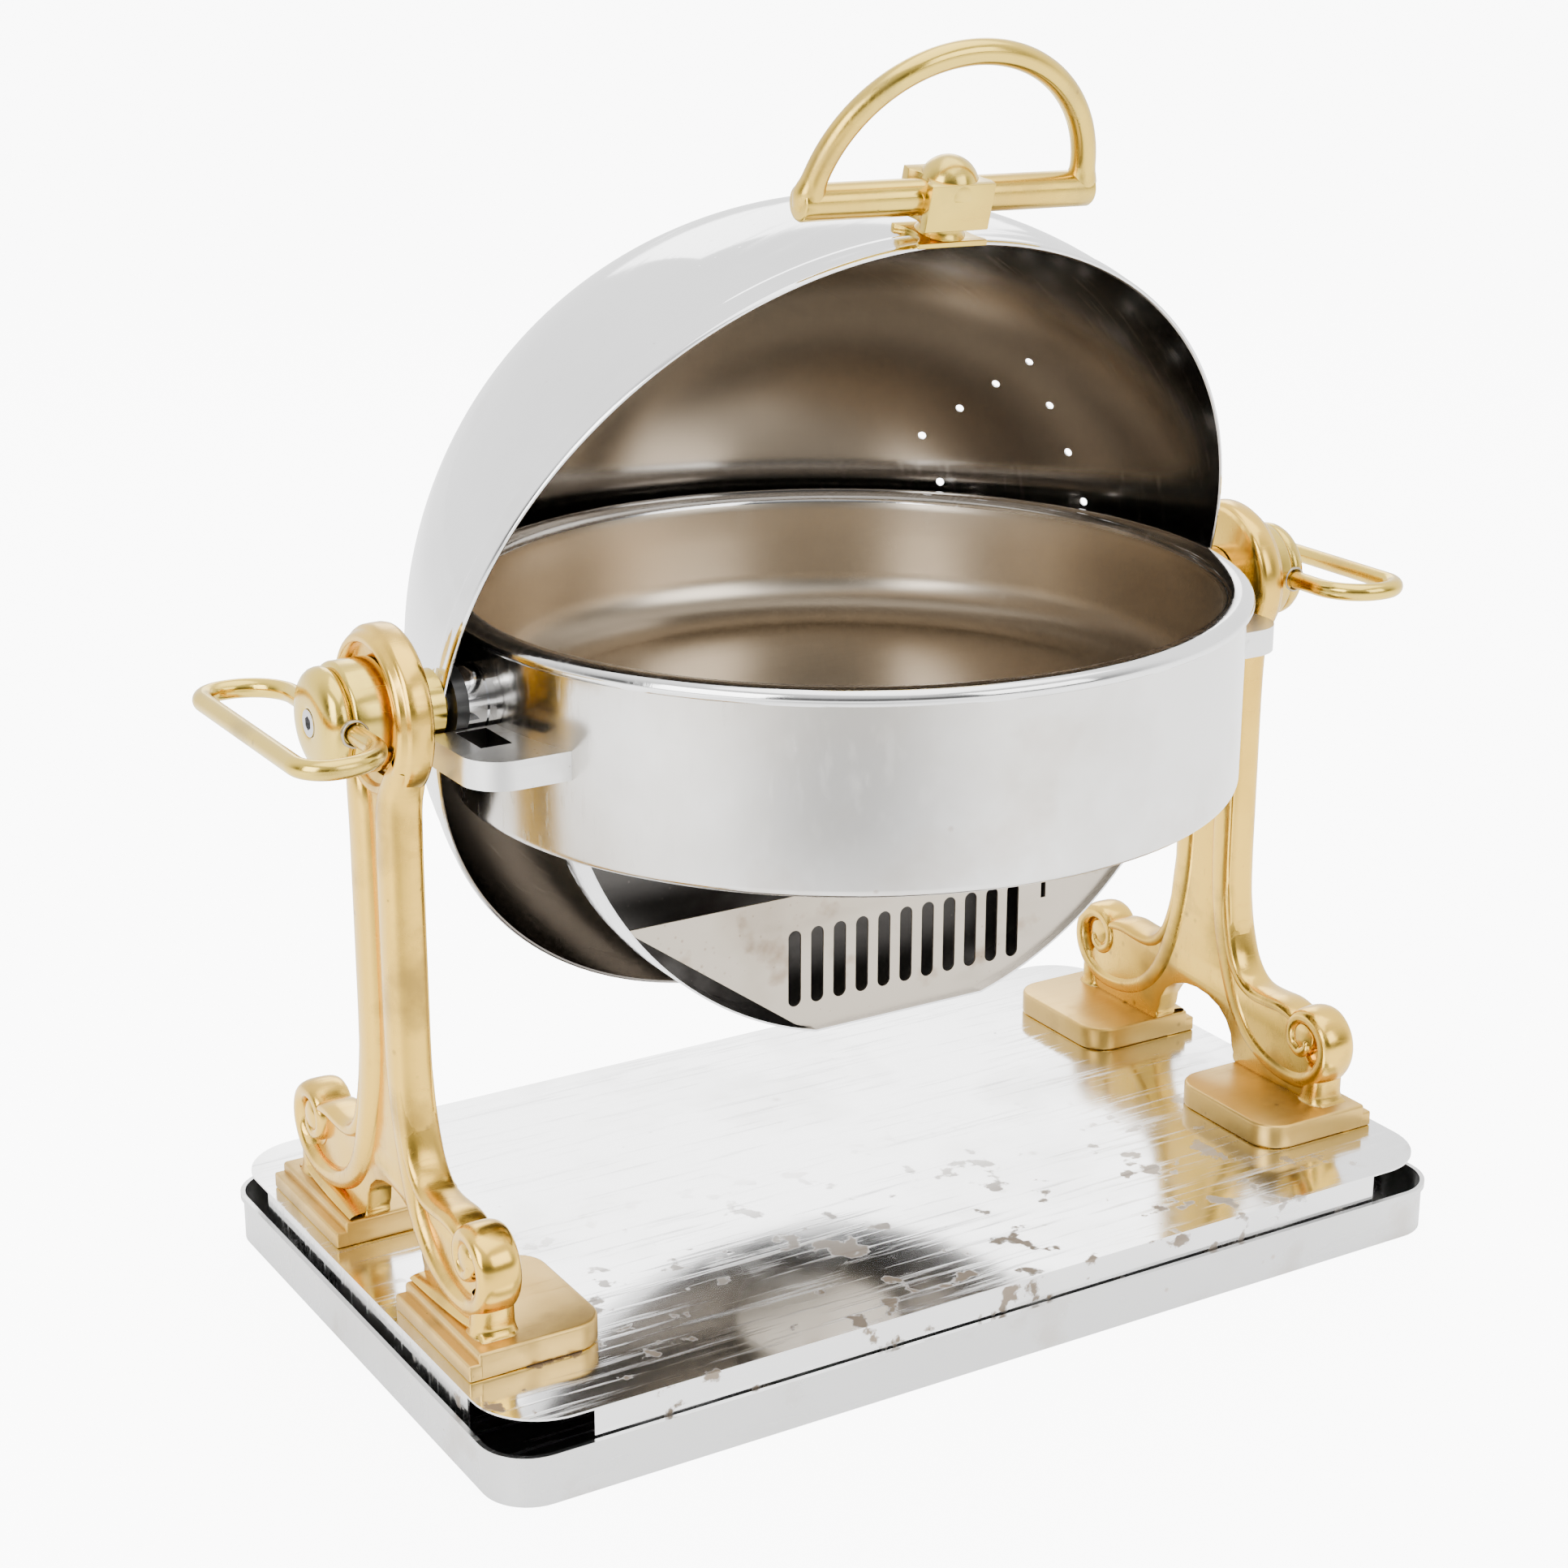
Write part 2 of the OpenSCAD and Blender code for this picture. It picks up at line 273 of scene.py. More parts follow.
# fine wipe marks in three directions
wipeMarks = newGroup("wipeMarks", [("Coords", None), ("Scale", 60.0)], ["Mask"])
tree = wipeMarks
ins, outs = tree.nodes["ins"], tree.nodes["outs"]
lines = []
for turn in ((20, 0, 35), (0, 60, -50), (70, 10, 80)):
    streak = stretchedNoise(tree, ins.outputs["Coords"], ins.outputs["Scale"], 3.0,
                            stretch=(1, 22, 5), turn=turn)
    lines.append(ranged(tree, streak, 0.60, 0.74))
both = combine(tree, lines[0], lines[1], "MAXIMUM")
tree.links.new(combine(tree, both, lines[2], "MAXIMUM"), outs.inputs["Mask"])

# cloudy patches such as smudges, water marks and tarnish
patches = newGroup(
    "patches", [("Coords", None), ("Scale", 12.0), ("Cover", 0.5), ("Softness", 0.12)], ["Mask"])
tree = patches
ins, outs = tree.nodes["ins"], tree.nodes["outs"]
cloud = stretchedNoise(tree, ins.outputs["Coords"], ins.outputs["Scale"], 6.0)
edge = combine(tree, 1.0, ins.outputs["Cover"], "SUBTRACT")
upper = combine(tree, edge, ins.outputs["Softness"], "ADD")
tree.links.new(ranged(tree, cloud, edge, upper), outs.inputs["Mask"])

# small sharp specks
specks = newGroup("specks", [("Coords", None), ("Scale", 90.0), ("Size", 0.2)], ["Mask"])
tree = specks
ins, outs = tree.nodes["ins"], tree.nodes["outs"]
cells = addNode(tree, "ShaderNodeTexVoronoi")
tree.links.new(ins.outputs["Coords"], cells.inputs["Vector"])
tree.links.new(ins.outputs["Scale"], cells.inputs["Scale"])
thin = stretchedNoise(tree, ins.outputs["Coords"], 14.0, 2.0)
reach = combine(tree, ins.outputs["Size"], ranged(tree, thin, 0.45, 0.65), "MULTIPLY")
tree.links.new(ranged(tree, cells.outputs["Distance"], reach, 0.0), outs.inputs["Mask"])
print("shader groups made")


def useGroup(tree, group, coords, **values):
    node = addNode(tree, "ShaderNodeGroup", node_tree=group)
    tree.links.new(coords, node.inputs["Coords"])
    for title, value in values.items():
        node.inputs[title].default_value = value
    return node.outputs["Mask"]


def tinted(tree, colour, mask, target):
    node = addNode(tree, "ShaderNodeMix", data_type="RGBA")
    if isinstance(mask, (int, float)):
        node.inputs["Factor"].default_value = mask
    else:
        tree.links.new(mask, node.inputs["Factor"])
    for title, value in (("A", colour), ("B", target)):
        slot = [s for s in node.inputs if s.name == title and s.type == "RGBA"][0]
        if isinstance(value, tuple):
            slot.default_value = (*value, 1)
        else:
            tree.links.new(value, slot)
    return [s for s in node.outputs if s.type == "RGBA"][0]


def metal(name, look):
    # one worn metal finish, with what is different in the look dictionary
    material = bpy.data.materials.new(name)
    material.use_nodes = True
    tree = material.node_tree
    shader = tree.nodes["Principled BSDF"]
    shader.inputs["Metallic"].default_value = look.get("metallic", 1.0)
    coords = addNode(tree, "ShaderNodeTexCoord").outputs["Object"]
    marks = useGroup(tree, wipeMarks, coords, Scale=look.get("markScale", 14.0))
    smears = useGroup(tree, patches, coords, Scale=look.get("smearScale", 9.0),
                      Cover=look.get("smearCover", 0.5), Softness=0.25)
    tarnish = useGroup(tree, patches, coords, Scale=look.get("tarnishScale", 16.0),
                       Cover=look.get("tarnishCover", 0.42), Softness=look.get("tarnishSoft", 0.12))
    spots = useGroup(tree, specks, coords, Scale=look.get("speckScale", 120.0),
                     Size=look.get("speckSize", 0.12))
    smearPart = combine(tree, smears, look.get("smearTint", 0.3), "MULTIPLY")
    colour = tinted(tree, look["colour"], smearPart, look["smearColour"])
    tarnishPart = combine(tree, tarnish, look.get("tarnishTint", 0.3), "MULTIPLY")
    if "tarnishZone" in look:
        tarnishPart = combine(tree, tarnishPart, look["tarnishZone"](tree, coords), "MULTIPLY")
    colour = tinted(tree, colour, tarnishPart, look["tarnishColour"])
    spotPart = combine(tree, spots, look.get("speckTint", 0.6), "MULTIPLY")
    colour = tinted(tree, colour, spotPart, look["speckColour"])
    if "paintedShadeZone" in look:
        # painted shade: a zone of the surface is tinted near-black where shadow falls
        colour = tinted(tree, colour, look["paintedShadeZone"](tree, coords), (0.02, 0.018, 0.016))
    tree.links.new(colour, shader.inputs["Base Color"])
    roughest = look["rough"] + look.get("smearRough", 0.08)
    rough = ranged(tree, smears, 0.0, 1.0, look["rough"], roughest)
    for mask, more in ((marks, look.get("markRough", 0.08)),
                       (tarnishPart, look.get("tarnishRough", 0.3))):
        rough = combine(tree, rough, combine(tree, mask, more, "MULTIPLY"), "ADD")
    tree.links.new(rough, shader.inputs["Roughness"])
    height = combine(tree, marks, look.get("markDepth", 0.15), "MULTIPLY")
    dents = combine(tree, spots, look.get("speckDepth", 0.6), "MULTIPLY")
    height = combine(tree, height, dents, "SUBTRACT")
    if look.get("grain"):
        fine = stretchedNoise(tree, coords, look["grain"][0], 3.0, look["grain"][2])
        height = combine(tree, height, combine(tree, fine, look["grain"][1], "MULTIPLY"), "ADD")
    if look.get("waves"):
        slow = stretchedNoise(tree, coords, look["waves"][0], 1.0)
        height = combine(tree, height, combine(tree, slow, look["waves"][1], "MULTIPLY"), "ADD")
    bump = addNode(tree, "ShaderNodeBump")
    bump.inputs["Distance"].default_value = look.get("bumpDistance", 0.0004)
    bump.inputs["Strength"].default_value = look.get("bump", 0.25)
    tree.links.new(height, bump.inputs["Height"])
    tree.links.new(bump.outputs["Normal"], shader.inputs["Normal"])
    return material


brassLook = {
    "colour": (0.74, 0.465, 0.075), "rough": 0.20, "smearColour": (0.50, 0.295, 0.045),
    "smearTint": 0.8, "smearRough": 0.12, "tarnishColour": (0.19, 0.125, 0.045), "tarnishTint": 0.6,
    "tarnishScale": 26.0, "tarnishCover": 0.46, "tarnishSoft": 0.2,
    "speckColour": (0.08, 0.05, 0.035), "speckScale": 70.0, "speckSize": 0.16, "markScale": 22.0,
    "markRough": 0.10, "grain": (420.0, 0.10, (1, 1, 1)), "waves": (30.0, 1.4), "bump": 0.22}
castBrass = metal("castBrass", brassLook)
padBrass = metal("padBrass", {
    **brassLook, "colour": (0.64, 0.42, 0.12), "rough": 0.36, "tarnishTint": 0.55})
rodBrass = metal("rodBrass", {
    **brassLook, "colour": (0.66, 0.465, 0.085), "rough": 0.18, "tarnishTint": 0.5,
    "tarnishColour": (0.32, 0.24, 0.09), "waves": (12.0, 0.4)})
drumSteel = metal("drumSteel", {
    "colour": (0.70, 0.69, 0.67), "rough": 0.11, "smearColour": (0.40, 0.36, 0.30),
    "smearTint": 0.85, "smearScale": 5.0, "smearCover": 0.56, "smearRough": 0.16,
    "tarnishColour": (0.42, 0.33, 0.24), "tarnishTint": 0.45, "tarnishScale": 14.0,
    "tarnishSoft": 0.2, "speckColour": (0.25, 0.12, 0.05), "speckScale": 36.0, "speckSize": 0.09,
    "markScale": 9.0, "markRough": 0.10, "waves": (6.0, 0.5)})
lipSteel = metal("lipSteel", {
    "colour": (0.74, 0.74, 0.735), "rough": 0.11, "smearColour": (0.55, 0.54, 0.52),
    "smearTint": 0.5, "smearRough": 0.12, "tarnishColour": (0.36, 0.33, 0.30), "tarnishTint": 0.3,
    "speckColour": (0.3, 0.28, 0.25), "markScale": 12.0})
panSteel = metal("panSteel", {
    "bump": 0.08, "colour": (0.60, 0.52, 0.415), "rough": 0.29, "smearColour": (0.54, 0.455, 0.355),
    "smearTint": 0.75, "smearRough": 0.08, "smearScale": 4.0, "tarnishColour": (0.40, 0.31, 0.22),
    "tarnishTint": 0.35, "tarnishScale": 5.0, "tarnishSoft": 0.25, "tarnishRough": 0.1,
    "speckColour": (0.22, 0.15, 0.10), "speckScale": 55.0, "speckSize": 0.07, "markScale": 10.0,
    "markRough": 0.04, "markDepth": 0.05})
lidSteel = metal("lidSteel", {
    "colour": (0.78, 0.78, 0.78), "rough": 0.06, "smearColour": (0.64, 0.64, 0.635),
    "smearTint": 0.5, "smearRough": 0.10, "tarnishColour": (0.50, 0.48, 0.44), "tarnishTint": 0.3,
    "speckColour": (0.3, 0.28, 0.25), "markScale": 7.0, "markRough": 0.14, "waves": (5.0, 0.6)})
lidInside = metal("lidInside", {
    "colour": (0.40, 0.37, 0.335), "rough": 0.15, "smearColour": (0.27, 0.225, 0.18),
    "smearTint": 0.8, "smearRough": 0.08, "smearScale": 4.5, "tarnishColour": (0.50, 0.33, 0.20),
    "tarnishTint": 0.5, "tarnishScale": 5.0, "tarnishSoft": 0.3, "tarnishRough": 0.1,
    "speckColour": (0.6, 0.58, 0.55), "speckSize": 0.05, "markScale": 8.0, "markRough": 0.05,
    "markDepth": 0.05})
chromeSteel = metal("chromeSteel", {
    "colour": (0.72, 0.72, 0.73), "rough": 0.07, "smearColour": (0.55, 0.55, 0.55),
    "smearTint": 0.4, "smearRough": 0.08, "tarnishColour": (0.36, 0.34, 0.31), "tarnishTint": 0.3,
    "speckColour": (0.15, 0.13, 0.11), "speckScale": 130.0, "speckSize": 0.10, "markScale": 30.0})
traySteel = metal("traySteel", {
    "colour": (0.62, 0.62, 0.615), "rough": 0.24, "smearColour": (0.50, 0.49, 0.47),
    "smearTint": 0.5, "smearRough": 0.12, "tarnishColour": (0.40, 0.32, 0.24), "tarnishTint": 0.3,
    "tarnishScale": 22.0, "speckColour": (0.32, 0.19, 0.08), "speckScale": 60.0, "speckSize": 0.12,
    "markScale": 10.0, "markRough": 0.12})
ventSteel = metal("ventSteel", {
    "colour": (0.44, 0.39, 0.32), "rough": 0.34, "smearColour": (0.33, 0.27, 0.20),
    "smearTint": 0.75, "smearRough": 0.15, "tarnishColour": (0.26, 0.17, 0.10), "tarnishTint": 0.55,
    "tarnishScale": 40.0, "speckColour": (0.16, 0.10, 0.06), "speckScale": 200.0, "speckSize": 0.24,
    "markScale": 16.0})
boltSteel = metal("boltSteel", {
    "colour": (0.50, 0.50, 0.51), "rough": 0.28, "smearColour": (0.40, 0.40, 0.40),
    "tarnishColour": (0.3, 0.25, 0.2), "speckColour": (0.2, 0.15, 0.1), "markScale": 60.0})


def frontStains(tree, coords):
    # stains gather toward the front edge and the left end of the plate
    apart = addNode(tree, "ShaderNodeSeparateXYZ")
    tree.links.new(coords, apart.inputs[0])
    front = ranged(tree, apart.outputs["Y"], 0.02, -0.12)
    wide = ranged(tree, apart.outputs["X"], 0.26, 0.10, 0.35, 1.0)
    return combine(tree, front, wide, "MULTIPLY")


plateSteel = metal("plateSteel", {
    "colour": (0.80, 0.80, 0.80), "rough": 0.10, "smearColour": (0.66, 0.65, 0.63),
    "smearTint": 0.6, "smearScale": 14.0, "smearRough": 0.14, "tarnishColour": (0.27, 0.215, 0.16),
    "tarnishTint": 0.95, "tarnishScale": 58.0, "tarnishCover": 0.40, "tarnishSoft": 0.04,
    "tarnishRough": 0.5, "tarnishZone": frontStains, "speckColour": (0.30, 0.26, 0.22),
    "speckScale": 34.0, "speckSize": 0.12, "markScale": 12.0, "markRough": 0.22, "markDepth": 0.25,
    "waves": (3.0, 0.25)})


slotSizes = {"x": 0.214, "y": -0.032, "halfAcross": 0.0082, "halfAlong": 0.0142, "top": 0.3188}


def slotPaintedShade(tree, coords):
    # painted shade: the walls of the slot in each side bracket are painted near-black for the shadow
    # inside the slot
    s = slotSizes
    apart = addNode(tree, "ShaderNodeSeparateXYZ")
    tree.links.new(coords, apart.inputs[0])
    away = combine(tree, combine(tree, apart.outputs["X"], 0.0, "ABSOLUTE"), s["x"], "SUBTRACT")
    acrossSlot = combine(tree, combine(tree, away, 0.0, "ABSOLUTE"), s["halfAcross"], "LESS_THAN")
    along = combine(tree, combine(tree, apart.outputs["Y"], -s["y"], "ADD"), 0.0, "ABSOLUTE")
    alongSlot = combine(tree, along, s["halfAlong"], "LESS_THAN")
    inSlot = combine(tree, acrossSlot, alongSlot, "MULTIPLY")
    below = combine(tree, apart.outputs["Z"], s["top"], "LESS_THAN")
    return combine(tree, inSlot, below, "MULTIPLY")


# the side bracket finish, with painted shade darkening the walls of its slots
lugSteel = metal("lugSteel", {
    "paintedShadeZone": slotPaintedShade, "colour": (0.74, 0.735, 0.72), "rough": 0.30,
    "smearColour": (0.52, 0.49, 0.45), "smearTint": 0.7, "smearRough": 0.1, "smearScale": 30.0,
    "tarnishColour": (0.25, 0.22, 0.19), "tarnishTint": 0.6, "tarnishScale": 60.0,
    "tarnishCover": 0.4, "speckColour": (0.15, 0.13, 0.11), "speckScale": 130.0,
    "markScale": 30.0})
# painted shade: the burner back is near-black so the inside seen through the vent slots looks dark
burnerBackShade = metal("burnerBackShade", {
    "colour": (0.09, 0.085, 0.08), "rough": 0.45, "smearColour": (0.06, 0.055, 0.05),
    "smearTint": 0.7, "tarnishColour": (0.05, 0.04, 0.035), "tarnishTint": 0.6,
    "speckColour": (0.2, 0.18, 0.16), "markScale": 16.0})
rubber = metal("rubber", {
    "metallic": 0.0, "colour": (0.015, 0.015, 0.015), "rough": 0.30,
    "smearColour": (0.03, 0.03, 0.03), "tarnishColour": (0.05, 0.05, 0.045),
    "speckColour": (0.08, 0.08, 0.07), "markScale": 30.0})
greySolder = metal("greySolder", {
    "colour": (0.34, 0.30, 0.24), "rough": 0.35, "smearColour": (0.25, 0.22, 0.18),
    "tarnishColour": (0.2, 0.15, 0.1), "speckColour": (0.1, 0.1, 0.1), "markScale": 60.0})
print("finishes made")


def dress(piece, *materials):
    piece.data.materials.clear()
    for material in materials:
        piece.data.materials.append(material)


def dressNode(name, material):
    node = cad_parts[name]
    for slot in node.material_slots:
        slot.material = material
    if not node.material_slots:
        node.data.materials.append(material)


# legs: one is modelled on the right and copied to the left
legSizes = {
    "inside": 242.3, "outside": 256.0, "ringRadius": 41.6, "half": 10.3, "padLow": 41.5,
    "padStep": 50.0, "padTop": 55.0, "ledge": 5.0, "padInner": 199.2, "padOuter": 271.6,
    "padCorner": 16}


def rightLeg():
    s = legSizes
    halfOutline = [
        (0, 302), (30, 302), (26, 292), (24, 280), (24, 160), (28, 126), (33, 107), (40, 101.5),
        (47, 100), (56, 102), (66, 103.5), (79, 101.5), (86, 96), (90, 86), (98, 78), (99.5, 68),
        (102, 61.5), (105.5, 57.4), (109, 54.5), (36, 54.5), (34, 57), (34.5, 60), (32.5, 64),
        (31.5, 70), (27, 77), (20, 82.5), (10, 86), (0, 87)]
    outline = halfOutline + [(-y, z) for y, z in reversed(halfOutline[1:-1])]
    web = outlineBlock("web", outline, s["inside"], s["outside"],
                       lambda a, b, x: atModel(x, a, b), 1.2, 2)
    parts = [web]
    half = s["half"]
    rib = [
        (29, 311, 6.0, 250, 8.5), (21.5, 300, 8.0, 250.5, 9.5), (17, 287, 9.6, 251, half),
        (15.6, 265, 10.4, 251, half), (15.4, 235, 10.6, 251, half), (15.4, 200, 10.6, 251, half),
        (15.6, 170, 10.5, 251, half), (17, 148, 10.0, 251, half), (20.8, 126, 9.2, 251, half),
        (26.5, 106, 8.3, 251, half), (34, 89, 7.4, 251, half), (45, 76, 6.6, 251, half),
        (59, 67.5, 6.1, 251, half), (75, 63.6, 5.9, 251, half), (91, 64.5, 5.9, 251, 10.6),
        (103, 71.5, 5.9, 251, 10.9), (109, 82.5, 5.8, 251, 11.0), (107.5, 94, 5.5, 251, 11.0),
        (99, 101.5, 5.2, 251, 11.0), (88.5, 101, 4.9, 251, 10.6), (82, 93.5, 4.6, 251, 10.4),
        (83, 85, 4.3, 251, 10.4), (89.5, 81, 4.2, 251, 10.6), (95, 84.5, 4.0, 251, 10.8),
        (95.5, 89, 2.6, 251, 10.0), (95, 90.5, 0.02, 251, 6.0)]
    edgeLip = [
        (17, 178, 5.0, 251, 9.4), (19.5, 155, 5.5, 251, 9.9), (22.5, 135, 5.5, 251, 10.1),
        (27, 120, 5.0, 251, 10.2), (31.5, 111, 4.6, 251, 10.2), (37.5, 104.3, 4.4, 251, 10.2),
        (44, 100.8, 4.2, 251, 10.2), (51, 99.6, 4.2, 251, 10.2), (60, 99.8, 4.1, 251, 10.2),
        (70, 100.4, 4.0, 251, 10.2), (79, 99, 3.6, 251, 10.0), (85, 96, 3.0, 251, 9.6)]
    neck = [
        (100, 54.7, 11.0, 251, 11.8), (100, 56.2, 9.6, 251, 11.2), (100, 59.5, 8.4, 251, 10.6),
        (100.5, 64, 7.9, 251, 10.3), (101, 70, 7.4, 251, 10.0), (101.5, 76, 6.0, 251, 9.5)]
    footRib = [
        (36, 56, 2.0, 255, 9), (60, 57, 3.2, 255, 9), (88, 57.5, 3.8, 253, 9.5),
        (99, 58.5, 4.2, 252, 9.8), (105, 56.5, 2.6, 252, 9.4), (109.5, 55, 1.2, 252, 9.0),
        (111, 54.8, 0.02, 252, 8.0)]
    eye = [
        (0, 241.2), (4.5, 241.6), (7.6, 242.6), (8.6, 244.2), (8.6, 258.6), (7.6, 260.2),
        (4.5, 261.4), (0, 261.8)]
    radius = s["padCorner"]
    outer, corner = s["padOuter"] - s["ledge"], s["padInner"] + radius
    padOutline = ([(outer, 35.6), (outer, 118.6)] + arc(corner, 118.6 - radius, radius, 90, 180, 8)
                  + arc(corner, 35.6 + radius, radius, 180, 270, 8))
    ledgeOutline = [
        (outer - 15, 35.7), (s["padOuter"], 35.7), (s["padOuter"], 118.5), (outer - 15, 118.5)]
    for side in (1, -1):
        place = lambda x, y, z, side=side: atModel(x, side * y, z)
        parts.append(swept("rib", rib, 28, 2.7, place))
        parts.append(swept("edgeLip", edgeLip, 20, 2.7, place, 4))
        parts.append(swept("neck", neck, 24, 2.7, place, 3))
        parts.append(turned("eye", eye, 32,
                            lambda a, b, h, side=side: atModel(h, side * (92 + a), 90 + b)))
        parts.append(turned("eyeBack", [(0, 245.6), (14.6, 245.6), (14.6, 256.4), (0, 256.4)], 40,
                            lambda a, b, h, side=side: atModel(h, side * (95 + a), 87 + b)))
        parts.append(outlineBlock("pad", padOutline, s["padLow"], s["padTop"],
                                  lambda a, b, h, side=side: atModel(a, side * b, h), 1.8, 4))
        parts.append(outlineBlock("padLedge", ledgeOutline, s["padLow"] + 0.05, s["padStep"],
                                  lambda a, b, h, side=side: atModel(a, side * b, h), 1.2, 3))
        parts.append(swept("footRib", footRib, 16, 2.2, place, 4))
    r = s["ringRadius"]
    ringProfile = [
        (12, 241.2), (36, 241.2), (39.6, 241.6), (41.0, 242.8), (r, 245), (r, 249),
        (r - 0.2, 252.5), (r - 0.8, 253.8), (r - 1.8, 254.4), (r - 2.6, 255.2), (r - 3.2, 257),
        (37.2, 258.4), (35.6, 258.9), (34.0, 258.4), (33.1, 257), (32.7, 255), (32.4, 253.8),
        (31, 253.4), (12, 253.4), (12, 241.2)]
    parts.append(turned("ring", ringProfile, 96, lambda a, b, h: atModel(h, a, pivotHeight + b)))
    leg = joined("legRight", parts)
    smoothByAngle(leg, 38)
    return leg


legRight = rightLeg()
legLeft = mirroredCopy(legRight, "legLeft")
for piece, node in ((legRight, "leg_right"), (legLeft, "leg_left")):
    dress(piece, castBrass, padBrass)
    for face in piece.data.polygons:
        if face.center.z < 0.0553 and face.center.z > 0.0420:
            face.material_index = 1
    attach(piece, "stand")
    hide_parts(node)
print("legs made")


# hubs, their caps and the solder round the shafts
def rightCap():
    profile = [
        (4.2, 274.6), (23.6, 274.6), (23.8, 275.6), (24.9, 276.4), (25.4, 277.6), (25.4, 279.4),
        (24.9, 281.4), (23.7, 283.2), (21.8, 284.8), (19, 286.1), (15, 286.9), (9, 287.0),
        (7.4, 286.9), (6.7, 286.4), (6.7, 281.2), (4.2, 281.2), (4.2, 274.6)]
    cap = turned("hubCapRight", profile, 72, lambda a, b, h: atModel(h, a, pivotHeight + b))
    smoothByAngle(cap, 40)
    return cap


def rightHub():
    profile = [
        (4.2, 254.1), (26.2, 254.1), (26.9, 255.0), (27, 257), (27, 272.2), (26.6, 273.4),
        (25.4, 274.2), (23.5, 274.4), (4.2, 274.4), (4.2, 254.1)]
    hub = turned("hubRight", profile, 72, lambda a, b, h: atModel(h, a, pivotHeight + b))
    smoothByAngle(hub, 40)
    return hub


collarSizes = {"shaftX": 275, "bore": 5.1, "thick": 1.7, "reach": 25.4, "half": 1.9}


def solderCollars():
    c = collarSizes
    parts = []
    for side in (1, -1):
        def spot(u, w, side=side):
            turn, ring = 2 * math.pi * u, 2 * math.pi * w
            lump = 1 + 0.12 * math.sin(3 * turn + side) + 0.07 * math.sin(7 * turn)
            radius = c["bore"] + c["thick"] * lump * (1 + math.cos(ring)) / 2
            along = side * (c["reach"] + c["half"] * math.sin(ring) * lump)
            return atModel(c["shaftX"] + radius * math.cos(turn), along,
                           pivotHeight + radius * math.sin(turn))
        part = rolledGrid("collar", 36, 14, spot)
        cleanMesh(part)
        parts.append(part)
    piece = joined("solderRight", parts)
    smoothByAngle(piece, 60)
    return piece


for make, nodeName, finish, record in (
        (rightCap, "hub_cap", rodBrass, "cast_brass"), (rightHub, "hub", rodBrass, "cast_brass"),
        (solderCollars, None, greySolder, "cast_brass")):
    right = make()
    left = mirroredCopy(right, right.name.replace("Right", "Left"))
    for piece, side in ((right, "right"), (left, "left")):
        dress(piece, finish)
        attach(piece, "stand")
        if nodeName:
            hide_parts(f"{nodeName}_{side}")
print("hubs made")

# water pan with its rolled lip, and the drum round it
panSizes = {"opening": 187.6, "bottom": 292.0, "corner": 25.0, "sheet": 1.2}


def panProfile():
    s = panSizes
    corner = s["corner"]
    inner = [(0, s["bottom"] + 0.6), (60, s["bottom"] + 0.5), (120, s["bottom"] + 0.2)]
    inner += arc(s["opening"] - corner, s["bottom"] + corner, corner, -90, 0, 14)
    inner += [
        (187.6, 335), (187.7, 352), (188.1, 356.4), (189.2, 359.2), (191.0, 361.0), (193.4, 361.8),
        (196.5, 362), (199.2, 361.9), (201.2, 361.2), (202.8, 359.8), (203.6, 357.8), (203.6, 355.9),
        (202.9, 354.6), (201.9, 354.3), (201.2, 355.0), (200.9, 356.6)]
    outer = [
        (199.6, 358.8), (196, 360.0), (192.6, 359.4), (190.2, 357.0), (189.0, 352), (188.8, 335)]
    outer += arc(s["opening"] - corner, s["bottom"] + corner, corner + s["sheet"], 0, -90, 14)
    outer += [(120, s["bottom"] - 1), (60, s["bottom"] - 0.7), (0, s["bottom"] - 0.6)]
    return inner + outer


pan = turned("panBowl", panProfile(), 160, lambda a, b, h: atModel(a, drumY + b, h))
smoothByAngle(pan, 45)
dress(pan, panSteel, lipSteel)
for face in pan.data.polygons:
    radius = math.hypot(face.center.x, face.center.y - drumY * mm)
    if radius > 0.1879:
        face.material_index = 1
drumProfile = ([(170, 265.2), (170, 263.7), (185, 263.7)] + arc(195.5, 268.2, 4.5, -90, 0, 8)
               + [(200, 300), (200, 335), (200, 354.6), (199, 354.6), (199, 300)]
               + arc(195.5, 268.2, 3.3, 0, -90, 6) + [(185, 265.2), (170, 265.2)])
drum = turned("drumWall", drumProfile, 160, lambda a, b, h: atModel(a, drumY + b, h))
smoothByAngle(drum, 45)
dress(drum, drumSteel)
for piece, node, record in ((pan, "water_pan", "pan_steel"), (drum, "drum_ring", "drum_steel")):
    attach(piece, "stand")
    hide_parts(node)
print("pan and drum made")

# lid shell with its vent holes
lidSizes = {
    "radius": 224.0, "depth": 228.0, "power": 1.9, "sheet": 1.0, "rimN": -9.0, "centreRho": 3.7,
    "band": 13.0, "bandStep": 0.75, "holeRadius": 2.25, "holeMiddle": 54.0, "holeDepth": 40.0,
    "holeCorners": [(-13, 0), (0, 19), (13, 0), (0, -19)], "shaftHole": 11.05,
}


def domeRadius(h, scale=1.0):
    s = lidSizes
    share = min(max(h / (s["depth"] * scale), 0.0), 1.0)
    return s["radius"] * scale * (1 - share ** s["power"]) ** (1 / s["power"])


